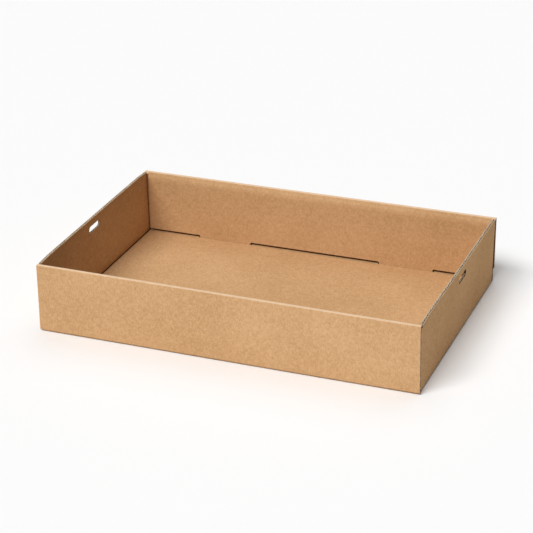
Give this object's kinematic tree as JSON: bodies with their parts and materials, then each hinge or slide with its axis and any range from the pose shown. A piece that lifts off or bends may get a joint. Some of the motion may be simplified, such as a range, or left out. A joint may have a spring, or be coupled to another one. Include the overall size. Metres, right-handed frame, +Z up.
{
  "type": "corrugated cardboard tray box",
  "caption": "Shallow open tray folded from one corrugated board sheet, with rolled-over long walls, single end walls and a hand slot at each end.",
  "frame": {"origin": "middle of the underside, where the tray stands", "axes": "+X along the length towards the right end wall, +Y across towards the back wall, +Z up"},
  "size_m": [0.45, 0.3, 0.082],
  "materials": {
    "kraft_board": "matte unbleached kraft liner with fine fibres, raw fluted edges"
  },
  "bodies": {
    "root": {"tray": "kraft_board"}
  },
  "joints": []
}
